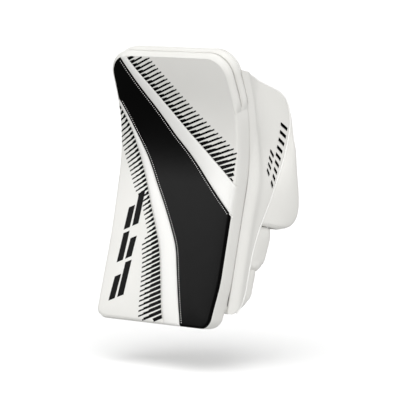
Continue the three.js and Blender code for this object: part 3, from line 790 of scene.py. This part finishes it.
def wingRear(v):
    at = v * (len(rearSmooth) - 1)
    i = min(int(at), len(rearSmooth) - 2)
    raised = wing["raise"] * ease((v - 0.72) / 0.14)
    return rearSmooth[i].lerp(rearSmooth[i + 1], at - i) + Vector((0, 0, raised))


def wingOuter(y, z):
    behind = y - boardBack(z)
    ridge = wing["bulge"] * hump(behind - wing["bulgeAt"], wing["bulgeReach"])
    dish = wing["dish"] * hump(behind - wing["dishAt"], wing["dishReach"])
    dish *= ease((z - wing["dishFrom"]) / 0.06)
    belly = wing["belly"]
    for distance, middle, reach in zip((behind, z), wing["bellyAt"], wing["bellyReach"]):
        belly *= hump(distance - middle, reach)
    flare = wing["flare"] * max(y - thick, 0)
    return board["width"] / 2 - wing["inside"] + flare + ridge - dish + belly


def wingPoint(u, v, depth=0):
    z = between(wingRear(0).z, wingRear(1).z, v)
    begin = Vector((0, boardBack(z) + wing["gap"], z))
    p = begin.lerp(wingRear(v), u)
    edgeDrop = rollDown((1 - u) * (wingRear(v) - begin).length, wing["edgeRoll"])
    return Vector((wingOuter(p.y, p.z) - edgeDrop - depth, p.y, p.z))


def wingFace(u, v):
    return wingPoint(spreadToEnds(u, 0.6), v)


wingPanel = walledPiece("wingPanel", 34, 90, wingFace, wing["wall"], thumbSide)
mergeClose(wingPanel)
finishPiece(wingPanel, *white, "board", "wing_panel")
wingPipe = [wingPoint(1, 0.015 + 0.97 * i / 130, -2.2 * mm) + Vector((0, 0.2 * mm, 0)) for i in range(131)]
# the piping gets the lighter copy of the white leather: a painted highlight along the seam line
finishPiece(pathTube("wingPiping", wingPipe, wing["pipe"], rings=2), paintedHighlightLeather, "white_leather", "board")


def wingLayer(name, look, finish, slotName, node):
    def at(u, v):
        across, upright = between(*look["across"], spreadToEnds(u, 0.6)), between(*look["upright"], v)
        return wingPoint(across, upright, look["depth"])

    piece = walledPiece(name, 20, 50, at, look["wall"], thumbSide, rounded=True)
    return finishPiece(piece, finish, slotName, "board", node)


wingLayers = {  # each reaches from and to these shares of the wing, and lies this deep
    "wingSheet": {"across": (0.03, 0.97), "upright": (0.03, 0.97), "depth": 2.7 * mm, "wall": 1.9 * mm},
    "wingPad": {"across": (0.06, 0.6), "upright": (0.54, 0.94), "depth": 4.8 * mm, "wall": 8.6 * mm},
    "wingLining": {"across": (0.05, 0.61), "upright": (0.53, 0.95), "depth": 13.9 * mm, "wall": 1.3 * mm},
}
wingLayer("wingSheet", wingLayers["wingSheet"], plasticSheet, "plastic_sheet", "wing_sheet")
wingLayer("wingPad", wingLayers["wingPad"], *mesh, "wing_pad")
wingLayer("wingLining", wingLayers["wingLining"], darkSuede, "black_mesh", "wing_liner")

wingMarks = {  # rows of bars: from and to, each across and up the wing, how many bars and how tall
    "rows": [((0.79, 0.505), (0.875, 0.745), 9, 0.13), ((0.55, 0.565), (0.69, 0.655), 4, 0.09)],
    "fill": 0.42, "slant": 0.028, "lift": 0.65 * mm, "steps": 4}
marksBuilt = bmesh.new()


def wingMarkSpot(start, stop, tall, t, rise):
    u = between(start[0], stop[0], t) - rise * tall
    return marksBuilt.verts.new(wingPoint(u, between(start[1], stop[1], t) + rise * wingMarks["slant"],
                                          -wingMarks["lift"]))


for start, stop, count, tall in wingMarks["rows"]:
    for k in range(count):
        ends = (k / count, (k + wingMarks["fill"]) / count)
        cells = [[wingMarkSpot(start, stop, tall, t, step / wingMarks["steps"] - 0.5) for t in ends]
                 for step in range(wingMarks["steps"] + 1)]
        for low, high in zip(cells, cells[1:]):
            marksBuilt.faces.new((low[0], low[1], high[1], high[0]))
wingPrint = fromBmesh("wingMarks", marksBuilt)
faceOut(wingPrint, thumbSide)
giveWall(wingPrint, printing["thickness"], even=False)
finishPiece(wingPrint, blackInk, "black_leather", "board")
print("wing made")


# padded pieces grown from their CAD solids: voxel, cap and grow are in millimetres
def padFrom(name, node, finish, slotName, body="board", voxel=3, swell=0, cap=1, relax=3, grow=0.6,
            press=None, cut=None, restsOn=()):
    piece = linked(name, nodes[node].data.copy())
    piece.data.name = name
    mergeClose(piece)
    applyModifier(piece, "REMESH", mode="VOXEL", voxel_size=voxel * mm)
    applyModifier(piece, "SMOOTH", factor=0.5, iterations=relax)
    if grow:
        applyModifier(piece, "DISPLACE", strength=grow * mm, mid_level=0)
    if press:
        inwards = [v.normal * press(rowToBoard @ v.co) for v in piece.data.vertices]
        for v, move in zip(piece.data.vertices, inwards):
            v.co -= move
    if swell:
        puffUp(piece, swell, cap * mm)
    applyModifier(piece, "SMOOTH", factor=0.5, iterations=2)
    applyModifier(piece, "SUBSURF", levels=1, render_levels=1)
    finishPiece(piece, finish, slotName, body, node, move=False)
    if cut:
        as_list(restsOn)
    return piece


def puffUp(piece, pressure, cap, frames=12):
    start = [v.co.copy() for v in piece.data.vertices]
    cloth = piece.modifiers.new("Cloth", "CLOTH")
    cloth.settings.use_pressure = True
    cloth.settings.uniform_pressure_force = pressure
    cloth.settings.effector_weights.gravity = 0
    cloth.settings.quality = 4
    cloth.point_cache.frame_end = frames
    for number in range(1, frames + 1):
        bpy.context.scene.frame_set(number)
    makeActive(piece)
    bpy.ops.object.modifier_apply(modifier=cloth.name)
    bpy.context.scene.frame_set(1)
    for v, was in zip(piece.data.vertices, start):
        moved = v.co - was
        if moved.length > cap:
            v.co = was + moved.normalized() * cap


def channels(*levels):  # sewn grooves across a pad at these heights in millimetres
    return lambda p: 2.4 * mm * sum(hump(p.z / mm - level, 3.5) for level in levels)


def wrinkles(p):
    return 0.9 * mm * noise.noise(Vector((p.x, p.y, p.z * 1.6)) * 70)


def underGuard(p):  # pressed in beside the thumb guard, and fuller below
    return 1 * mm * ease((p.z - 0.150) / 0.006) - 3.5 * mm * ease((0.108 - p.z) / 0.010)


patch = {"voxel": 0.7, "relax": 1, "grow": 0}
gusset = {"voxel": 1.2, "swell": 3, "cap": 1.5, "grow": 0.1, "restsOn": ["hand_back"]}
padFrom("indexPadUpper", "index_pad_upper", *white, swell=3, cap=2, grow=2.6, press=underGuard)
padFrom("indexPadLower", "index_pad_lower", *white, swell=3, cap=2, grow=2.6)
padFrom("knucklePad", "knuckle_pad", *mesh, swell=2, cap=1.5, relax=8, press=channels(80, 112, 144, 176))
padFrom("cuffBackPad", "cuff_back_pad", *mesh, swell=2, cap=1.5, relax=14, press=channels(236, 264, 292))
padFrom("handBack", "hand_back", *mesh, voxel=1.8, grow=0.2)
palmPanel = padFrom("palmPanel", "palm_panel", *suede, voxel=1.3, swell=2, grow=0.1,
                    press=wrinkles, cut=(0.102, 0.085), restsOn=["little_side_gusset", "thumb_side_gusset"])
heelPad = padFrom("heelPad", "heel_pad", darkSuede, "palm_suede", voxel=2, swell=4, cap=2)
cuffFlap = padFrom("cuffFlap", "cuff_flap", *white, "cuff_flap", voxel=2, swell=3, cap=1.5, grow=0.3)
rearFlap = padFrom("rearFlap", "rear_flap", *mesh, voxel=2, grow=0)
for vertex in rearFlap.data.vertices:  # kept inside the wing where the wing is dished
    p = rowToBoard @ vertex.co
    p.x = min(p.x, wingOuter(p.y, p.z) - wing["flapInside"])
    vertex.co = boardToRow @ p
padFrom("strapAnchor", "strap_anchor", blackLeather, "black_mesh", "cuff_flap", voxel=1.2, relax=2, grow=0.1)
wristStrap = padFrom("wristStrap", "wrist_strap", *white, "wrist_strap", voxel=1.2, relax=2, grow=0.1,
                     cut=(0.036, 0.127), restsOn=["cuff_flap", "rear_flap"])
padFrom("strapTab", "strap_tab", *black, "wrist_strap", voxel=0.9, relax=2, grow=0.1)
padFrom("loopPatch", "loop_patch", loopPile, "loop_pile", **patch)
padFrom("hookPatch", "hook_patch", loopPile, "hook_pile", "wrist_strap", **patch)
padFrom("gussetLittle", "little_side_gusset", *mesh, cut=(0.026, 0.085), **gusset)
padFrom("gussetThumb", "thumb_side_gusset", *mesh, cut=(0.026, 0.037), **gusset)


def boardLayer(name, low, high, finish, slotName, node):
    def at(u, v):
        h = board["length"] * (0.02 + 0.96 * spreadToEnds(v, 0.6))
        x = halfWidth(h) * (2 * u - 1)
        return boardPoint(x * 0.96, h, low + rollDown(edgeDistance(x, h), 2 * mm))

    piece = walledPiece(name, 30, 60, at, high - low, front)
    return finishPiece(piece, finish, slotName, "board", node)


boardLayer("frontFoam", 2.6 * mm, 13.4 * mm, innerFoam, "foam", "front_foam")
boardLayer("stiffenerSheet", 14 * mm, 16.2 * mm, plasticSheet, "plastic_sheet", "stiffener_sheet")
boardLayer("rearFoam", 16.6 * mm, 28.4 * mm, innerFoam, "foam", "rear_foam")
print("pads made")

# the thumb guard: a shell wrapped round from the wing's rear edge, and its lining
guard = {  # edge and reach: height up the board, then behind it and in from its side, in millimetres
    "edge": [(157, 68), (161, 84), (167, 94), (175, 100), (184, 103), (198, 102.5), (214, 98.8), (226, 95),
             (240, 90.3), (260, 84.3), (276, 79.5), (292, 74.6), (308, 69.9), (318, 65.6), (324, 62.4),
             (330, 58.5)],
    "reach": [(158, 2), (168, 22), (178, 28), (226, 28), (256, 4), (270, 0), (306, -2)],
    "corner": 12 * mm,
    "tuck": 5 * mm,
    "wall": 2.4 * mm,
    "low": 157,
    "high": 320,
    "lowRoll": 7 * mm,
    "highRoll": 2.5 * mm,
    "middle": Vector((85, 85, 235)) * mm,
}
wingEdgeLine = [(p.z, p.y) for p in rearSmooth if p.z < 0.335]


def guardLine(z):
    wingEdge = along(wingEdgeLine, z)
    begin = wingEdge + 1.2 * mm
    full = max(thick + softly(guard["edge"], z / mm, 4) * mm, begin + 1 * mm)
    radius = min(guard["corner"], max(0.6 * (full - begin), 1 * mm))
    corner = full - 0.35 * radius
    side = board["width"] / 2
    frontX = wingOuter(wingEdge, z) - 0.6 * mm
    outX = side - 0.2 * mm + 0.2 * (full - thick)
    outX = between(frontX, outX, ease((full - begin) / 0.012))
    tucked = 1 - 0.7 * ease((z - 0.252) / 0.014)
    spots = [(frontX - 2.6 * mm * tucked, begin - guard["tuck"] * tucked),
             (frontX - 1.2 * mm * tucked, begin - 1.5 * mm * tucked)]
    for t in (0.04, 0.2, 0.4, 0.6, 0.8, 1):
        spots.append((between(frontX, outX, math.sin(t * math.pi / 2)), between(begin, corner, t)))
    for degrees in (15, 30, 45, 60, 75, 90):
        a = math.radians(degrees)
        spots.append((outX - radius * (1 - math.cos(a)), corner + radius * math.sin(a)))
    lastX, lastY = spots[-1]
    reach = min(side - softly(guard["reach"], z / mm, 5) * mm, lastX - 2 * mm)
    for t in (0.25, 0.5, 0.75, 1):
        spots.append((between(lastX, reach, t), lastY - 1.5 * mm * t))
    return [Vector((x, y, z)) for x, y in spots]


def guardPoint(u, v):
    z = between(guard["low"], guard["high"], spreadToEnds(v, 0.85)) * mm
    line = guardLine(z)
    spot = u * (len(line) - 1)
    i = min(int(spot), len(line) - 2)
    p = line[i].lerp(line[i + 1], spot - i)
    inwards = Vector((-0.75, -0.65, 0)).normalized() if u > 0.6 else Vector((-1, 0, 0))
    drop = rollDown(z - guard["low"] * mm, guard["lowRoll"])
    drop += rollDown(guard["high"] * mm - z, guard["highRoll"])
    return p + inwards * drop * ease(u / 0.2)


def softShell(name, columns, rows, at, smoothing, wall):
    piece = layGrid(name, columns, rows, at)
    faceOut(piece, centre=guard["middle"])
    applyModifier(piece, "SMOOTH", factor=0.5, iterations=smoothing)
    giveWall(piece, wall, rounded=True, even=False)
    return piece


guardShell = softShell("thumbGuardShell", 54, 64, guardPoint, 6, guard["wall"])
finishPiece(guardShell, *white, "thumb_guard", "thumb_guard_shell")
lining = {"across": (0.2, 0.92), "upright": (0.05, 0.58), "depth": 3.2 * mm, "wall": 3.2 * mm, "step": 0.02,
          "towards": (80 * mm, 100 * mm)}


def guardInside(u, v):
    u, v, step = between(*lining["across"], u), between(*lining["upright"], v), lining["step"]
    p = guardPoint(u, v)
    across = guardPoint(u + step, v) - guardPoint(u - step, v)
    upright = guardPoint(u, v + step) - guardPoint(u, v - step)
    way = across.cross(upright).normalized()
    if way.dot(Vector((*lining["towards"], p.z)) - p) <= 0:
        way = -way
    return p + way * lining["depth"]


guardLining = softShell("thumbGuardLining", 40, 50, guardInside, 4, lining["wall"])
finishPiece(guardLining, *mesh, "thumb_guard", "thumb_guard_foam")
print("thumb guard made")

# the glove: two stalls to a finger and one for the thumb, in millimetres
fingers = {
    "x": {"index": 67, "middle": 41, "ring": 15, "little": -11},
    "y": 55.4,
    "radius": {"index": 13, "middle": 13, "ring": 13, "little": 11.5},
    "knuckle": {"index": 166, "middle": 168, "ring": 166, "little": 160},
    "middle": {"index": 122, "middle": 120, "ring": 122, "little": 124},
    "tip": {"index": 74, "middle": 66, "ring": 72, "little": 88},
    "wall": 1.6 * mm,
    "oval": 0.94,
    "seam": 0.55,
    "hem": 0.5,
    "creases": 0.5,
    "unevenness": 0.02,
}


def stall(name, x, y, radius, top, bottom, closed, bendsAt, rows=30):
    def at(u, v):
        angle = 2 * math.pi * u
        share = 0.72 if closed else 1
        if v <= share:
            z = top + (bottom + (radius if closed else 0) - top) * v / share
            r = radius
        else:
            turn = (v - share) / (1 - share) * math.pi / 2
            z = bottom + radius - radius * math.sin(turn)
            r = radius * math.cos(turn)
        thin = min(r / radius, 1)
        r *= 1 + fingers["unevenness"] * noise.noise(Vector((x / 9, z / 16, math.sin(angle) * 1.5)))
        r += fingers["seam"] * thin * hump(math.sin(angle), 0.13)
        r -= fingers["hem"] * hump(z - top + 3, 0.9)
        palmSide = max(math.sin(angle), 0)
        r += fingers["creases"] * thin * palmSide * math.sin(z * 1.3) * hump(z - bendsAt, 10)
        return Vector((x + r * math.cos(angle), y + r * fingers["oval"] * math.sin(angle), z)) * mm

    piece = layGrid(name, 60, rows, at)
    mergeClose(piece)
    faceOut(piece, centre=Vector((x, y, (top + bottom) / 2)) * mm)
    giveWall(piece, fingers["wall"], rounded=True)
    return piece


for finger, x in fingers["x"].items():
    y = fingers["y"]
    radius, knuckle, middle, end = (fingers[key][finger] for key in ("radius", "knuckle", "middle", "tip"))
    upper = stall(finger + "StallUpper", x, y, radius - 0.5, knuckle + 12, middle - 4, False, knuckle)
    finishPiece(upper, *suede, None, finger + "_stall_upper")
    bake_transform(upper)
    tip = stall(finger + "StallTip", x, y, radius + 0.5, middle + 5, end, True, middle - 4, 44)
    finishPiece(tip, *suede, None, finger + "_stall_tip")
    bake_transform(tip)

thumb = {"mouth": Vector((88, 90.8, 240)), "tip": Vector((91, 109.8, 170)), "radius": 14, "bendsAt": 40}
thumbRun = thumb["mouth"] - thumb["tip"]
thumbStall = stall("thumbStall", 0, 0, thumb["radius"], thumbRun.length, 0, True, thumb["bendsAt"], 48)
thumbTurn = thumbRun.to_track_quat("Z", "Y").to_matrix().to_4x4()
thumbStall.data.transform(Matrix.Translation(thumb["tip"] * mm) @ thumbTurn)
finishPiece(thumbStall, *suede, "thumb_guard", "thumb_stall")
print("glove made")

# palm overlay, piping and sewing
sewing = {
    "pitch": 3.2 * mm,
    "thread": {"width": 0.8 * mm, "height": 0.6 * mm, "lift": 0.1 * mm, "fill": 0.62},
    "pipePitch": 3 * mm,
    "pipeSunk": 0.3,
}
palm = {"middle": 28, "half": 51, "edge": 73.8, "rise": 6}


def palmAt(x):  # how far behind the board's face the palm is, in millimetres
    across = (x - palm["middle"]) / palm["half"]
    return palm["edge"] + palm["rise"] * (1 - min(across * across, 1))


def snapped(piece, points):
    spots, outs = [], []
    for point in points:
        _, spot, normal, _ = piece.closest_point_on_mesh(boardToRow @ point)
        spots.append(rowToBoard @ spot)
        outs.append(rowToBoard.to_3x3() @ normal)
    return spots, outs


def sewOn(name, piece, points, body="board"):
    spots, outs = snapped(piece, resample(points, sewing["pitch"]))
    finishPiece(stitchRun(name, spots, outs, sewing["thread"]), greyThread, "white_leather", body)


def pipeOn(name, piece, points, radius, finish, slotName):
    spots, outs = snapped(piece, resample(points, sewing["pipePitch"]))
    path = [spot + out * radius * (1 - sewing["pipeSunk"]) for spot, out in zip(spots, outs)]
    for _ in range(2):
        inner = [(a + b * 2 + c) / 4 for a, b, c in zip(path, path[1:], path[2:])]
        path = path[:1] + inner + path[-1:]
    finishPiece(pathTube(name, path, radius, rings=2), finish, slotName, "board")


def roundedLoop(u0, u1, v0, v1, radius):
    corners = []
    for cu, cv, begin in ((u1 - radius, v1 - radius, 0), (u0 + radius, v1 - radius, 90),
                          (u0 + radius, v0 + radius, 180), (u1 - radius, v0 + radius, 270)):
        for step in range(7):
            angle = math.radians(begin + 15 * step)
            corners.append((cu + radius * math.cos(angle), cv + radius * math.sin(angle)))
    return corners + corners[:1]


overlay = {"left": -17, "right": 73, "low": 181, "high": 222, "spread": 0.8, "bow": 0.175, "power": 2,
           "lift": 1.5, "roll": 1.0, "wall": 1.6 * mm}


def overlayPoint(u, v):
    x, z, a, b = bowedPanel(overlay, u, v)
    edgeGap = (1 - max(a, b)) * 22
    return Vector((x, palmAt(x) + overlay["lift"] - rollDown(edgeGap, overlay["roll"]), z)) * mm


def frameRun(u, v, uSteps, vSteps):  # round a panel at u and v from its edges
    slack = 0.0001
    upLine = [(u, t / vSteps) for t in range(1, vSteps) if v + slack < t / vSteps < 1 - v - slack]
    overLine = [(t / uSteps, 1 - v) for t in range(1, uSteps) if u - slack < t / uSteps < 1 - u + slack]
    return upLine + overLine + [(1 - a, 1 - b) for a, b in upLine + overLine]


palmOverlay = walledPiece("palmOverlay", 40, 24, overlayPoint, overlay["wall"], back, rounded=True)
finishPiece(palmOverlay, darkSuede, "palm_suede", "board")
around = [overlayPoint(u, v) for u, v in frameRun(0.06, 0.09, 30, 20)]
sewOn("overlayStitches", palmOverlay, around + around[:1])
palmRun = [Vector((x, palmAt(x), z)) * mm for x, z in roundedLoop(-20, 76, 181, 258, 6)]
sewOn("palmStitches", palmPanel, palmRun)
hemRun = [Vector((x, palmAt(x) - 0.4, 177.6)) * mm for x in range(-22, 79, 3)]
pipeOn("palmHem", palmPanel, hemRun, 1.7 * mm, darkSuede, "palm_suede")
heelRun = [Vector((x, palmAt(x) + 8, z)) * mm for x, z in roundedLoop(-14, 52, 230, 256, 6)]
sewOn("heelStitches", heelPad, heelRun)
cuffRun = [Vector((-35.5, y, z)) * mm for y, z in roundedLoop(43, 87, 244.5, 317.5, 7)]
sewOn("cuffStitches", cuffFlap, cuffRun, "cuff_flap")
strapLine = [(78, 112.1), (64, 114.6), (44, 115.1), (20, 114.1), (0, 112.1), (-20, 107.6), (-32.8, 102.1)]
for name, z in (("strapStitchesLow", 279), ("strapStitchesHigh", 309)):
    sewOn(name, wristStrap, [Vector((x, y, z)) * mm for x, y in strapLine], "wrist_strap")
flapLine = [(107, 89.8), (96, 95.8), (86, 101.8), (70, 106.3), (50, 107.8), (25, 106.9)]
for name, z in (("flapPipingLow", 268.4), ("flapPipingHigh", 317.6)):
    pipeOn(name, rearFlap, [Vector((x, y, z)) * mm for x, y in flapLine], 1.5 * mm, *black)
mountRun = [mountPoint(u, v) for u, v in frameRun(0.05, 0.025, 20, 40)]
sewOn("mountStitches", mountPanel, mountRun + mountRun[:1])
backInset, backMiddle = 8 * mm, 190 * mm
backRun = [boardPoint(x + inX * backInset, h + inH * backInset, thick + 1 * mm)
           for x, h, inX, inH in outline(board["length"], backMiddle) + outline(0, backMiddle)[::-1]]
sewOn("backStitches", backCover, backRun + backRun[:1])
sewOn("guardStitches", guardShell, [guardPoint(0.18 + 0.8 * i / 40, 0.085) for i in range(41)], "thumb_guard")
print("sewing made")

# camera, floor and light
view = {
    "from": Vector((2076.8, -2703.2, 552.1)) * mm,  # from the board's lower front edge, level with the room
    "at": Vector((43.6, 51.2, 170.3)) * mm,
    "focal": 223.66,
    "sensor": 36,
    "clipEnd": 200,
}
boardOrigin = rowPoint(0, 0, 0)
camera = linked("camera", bpy.data.cameras.new("camera"))
camera.data.lens = view["focal"]
camera.data.sensor_width = view["sensor"]
camera.data.clip_end = view["clipEnd"]
camera.location = boardOrigin + view["from"]
camera.rotation_euler = (view["at"] - view["from"]).to_track_quat("-Z", "Y").to_euler()
bpy.context.scene.camera = camera

floorLook = {"size": 160, "drop": 63 * mm}
floorFinish = newFinish("paleFloor", {
    "Base Color": (0.9, 0.9, 0.9, 1), "Roughness": 0.9, "Specular IOR Level": 0.1,
    "Emission Color": (1, 1, 1, 1), "Emission Strength": 0.1})[0]
clearSelection()
floorAt = boardOrigin - Vector((0, 0, floorLook["drop"]))
bpy.ops.mesh.primitive_plane_add(size=floorLook["size"], location=floorAt)
floor = bpy.context.object
floor.name = "floor"
floor.data.materials.append(floorFinish)
floor.visible_diffuse = False
floor.visible_glossy = False

room = bpy.data.worlds.new("room")
bpy.context.scene.world = room
room.use_nodes = True
roomNodes, roomLink = room.node_tree.nodes, room.node_tree.links.new
ambient = roomNodes["Background"]
ambient.inputs["Color"].default_value = (1, 1, 0.995, 1)
ambient.inputs["Strength"].default_value = 0.61
backdrop = addNode(room.node_tree, "ShaderNodeBackground", Color=(1, 1, 1, 1), Strength=1.0)
seenOrNot = roomNodes.new("ShaderNodeMixShader")
roomLink(roomNodes.new("ShaderNodeLightPath").outputs["Is Camera Ray"], seenOrNot.inputs[0])
roomLink(ambient.outputs[0], seenOrNot.inputs[1])
roomLink(backdrop.outputs[0], seenOrNot.inputs[2])
roomLink(seenOrNot.outputs[0], roomNodes["World Output"].inputs["Surface"])
bpy.context.scene.view_settings.view_transform = "Standard"


def turnedFrom(lamp, comesFrom):
    lamp.rotation_euler = Vector(comesFrom).to_track_quat("Z", "Y").to_euler()


def softSun(name, comesFrom, strength, spread):
    lamp = linked(name, bpy.data.lights.new(name, "SUN"))
    lamp.data.energy = strength
    lamp.data.angle = math.radians(spread)
    turnedFrom(lamp, comesFrom)


# one broad light from above, one from the front
softSun("overheadKey", (0.1, -0.35, 0.93), 1.5, 60)
softSun("frontFill", (0.85, -0.55, 0.25), 1.12, 60)

card = {"size": 1.3, "energy": 125, "at": Vector((-1.5, -1.85, 1.25)), "comesFrom": (-1.5, -1.85, 0.85)}
sheenCard = linked("sheenCard", bpy.data.lights.new("sheenCard", "AREA"))  # only glossy surfaces see it
sheenCard.data.size = card["size"]
sheenCard.data.energy = card["energy"]
sheenCard.visible_diffuse = False
sheenCard.location = boardOrigin + card["at"]
turnedFrom(sheenCard, card["comesFrom"])
print("camera, floor and light set")
